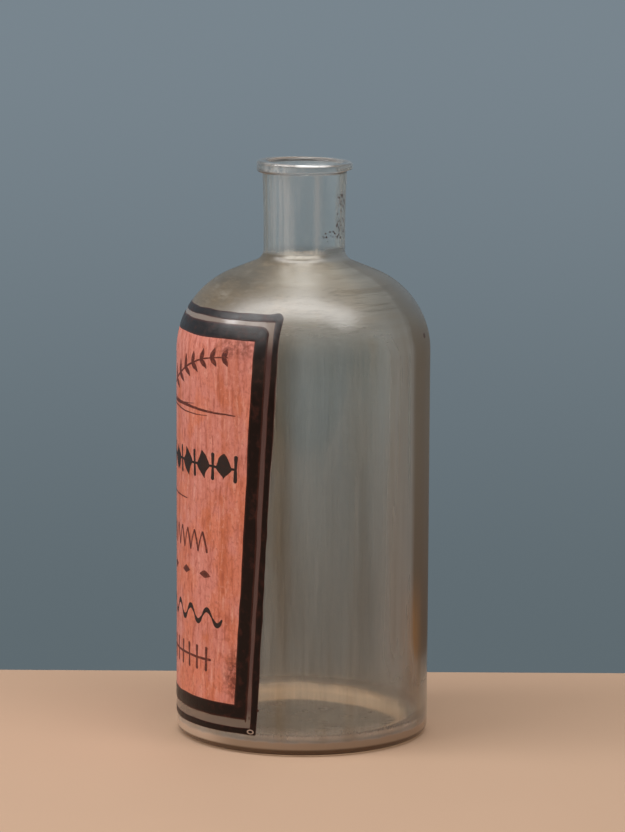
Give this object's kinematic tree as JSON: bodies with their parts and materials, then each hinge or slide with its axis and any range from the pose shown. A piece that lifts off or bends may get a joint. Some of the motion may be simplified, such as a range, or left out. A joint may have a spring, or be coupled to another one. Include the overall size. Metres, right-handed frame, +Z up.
{
  "type": "apothecary bottle",
  "caption": "Tall round glass apothecary bottle with a domed shoulder, short neck, laid-on lip and a painted, framed label wrapped round the front.",
  "frame": {"origin": "middle of the base, on the surface that the bottle stands on", "axes": "+Z up along the bottle's axis, -Y out of the middle of the label, +X to the label's right as a reader sees it"},
  "size_m": [0.12, 0.1212, 0.2725],
  "materials": {
    "glass": "clear blown glass under a brushed grey-brown antique wash, satin",
    "salmon_paint": "brushed salmon paint with upright orange-brown grain, eggshell",
    "black_paint": "brushed black paint, reddish where thin, satin",
    "black_ink": "brushed black ink, uneven",
    "maroon_ink": "thin maroon ink, uneven"
  },
  "bodies": {
    "root": {"bottle_body": "glass", "lip_ring": "glass", "label_outer_line": "black_paint", "label_frame": "black_paint", "label_ground": "salmon_paint", "ink_sprig_left": "maroon_ink", "ink_sprig_right": "maroon_ink", "ink_ground_stroke": "maroon_ink", "ink_lozenge_row": "black_ink", "ink_fine_rule": "maroon_ink", "ink_zigzag_row": "maroon_ink", "ink_dot_1": "maroon_ink", "ink_dot_2": "maroon_ink", "ink_dot_3": "maroon_ink", "ink_dot_4": "maroon_ink", "ink_dot_5": "maroon_ink", "ink_dot_6": "maroon_ink", "ink_wave_row": "black_ink", "ink_fluted_row": "maroon_ink"}
  },
  "joints": []
}
